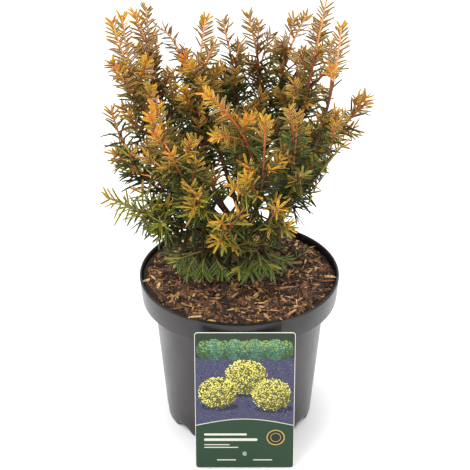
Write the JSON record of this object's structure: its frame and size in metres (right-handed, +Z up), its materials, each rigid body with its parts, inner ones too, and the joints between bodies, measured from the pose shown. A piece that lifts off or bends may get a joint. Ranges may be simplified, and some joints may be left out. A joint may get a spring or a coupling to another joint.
{
  "type": "potted yew shrub",
  "caption": "Young golden yew with several upright stems and masses of needles, standing in a round tapered nursery pot with a hanging label.",
  "frame": {"origin": "centre of the flat underside of the pot", "axes": "+Z up; -Y towards the label on the pot's front"},
  "size_m": [0.245, 0.2168, 0.4304],
  "materials": {
    "pot": "satin",
    "growing_medium": "rough",
    "label": "printed",
    "strap": "matte",
    "bark": "rough",
    "young_bark": "rough",
    "needles_gold": "waxy",
    "needles_olive": "waxy",
    "needles_green": "waxy"
  },
  "bodies": {
    "root": {"bough_back_left": "young_bark", "bough_back_low_left": "young_bark", "bough_back_low_right": "young_bark", "bough_back_middle": "young_bark", "bough_back_right": "young_bark", "bough_front_gold": "young_bark", "bough_front_left": "young_bark", "bough_front_low": "young_bark", "bough_front_middle": "young_bark", "bough_front_right": "young_bark", "bough_front_slant": "young_bark", "bough_left_arch": "young_bark", "bough_left_crest": "young_bark", "bough_left_crest_inner": "young_bark", "bough_left_low": "young_bark", "bough_left_outer": "young_bark", "bough_right_front": "young_bark", "bough_right_high": "young_bark", "bough_right_inner": "young_bark", "bough_right_low": "young_bark", "bough_right_outer": "young_bark", "bough_skirt_left": "young_bark", "bough_skirt_right": "young_bark", "bough_spire_back": "young_bark", "bough_spire_left": "young_bark", "bough_spire_middle": "young_bark", "foliage_back_left": "needles_olive", "foliage_back_low_left": "needles_olive", "foliage_back_low_right": "needles_olive", "foliage_back_middle": "needles_olive", "foliage_back_right": "needles_olive", "foliage_front_gold": "needles_gold", "foliage_front_left": "needles_gold", "foliage_front_low": "needles_olive", "foliage_front_middle": "needles_gold", "foliage_front_right": "needles_gold", "foliage_front_slant": "needles_gold", "foliage_left_arch": "needles_gold", "foliage_left_crest": "needles_gold", "foliage_left_crest_inner": "needles_gold", "foliage_left_low": "needles_olive", "foliage_left_outer": "needles_gold", "foliage_right_front": "needles_gold", "foliage_right_high": "needles_gold", "foliage_right_inner": "needles_gold", "foliage_right_low": "needles_olive", "foliage_right_outer": "needles_gold", "foliage_skirt_left": "needles_green", "foliage_skirt_right": "needles_green", "foliage_spire_back": "needles_gold", "foliage_spire_left": "needles_gold", "foliage_spire_middle": "needles_gold", "label": "label", "label_strap": "strap", "pot": "pot", "second_stem": "bark", "soil": "growing_medium", "trunk": "bark"}
  },
  "joints": []
}
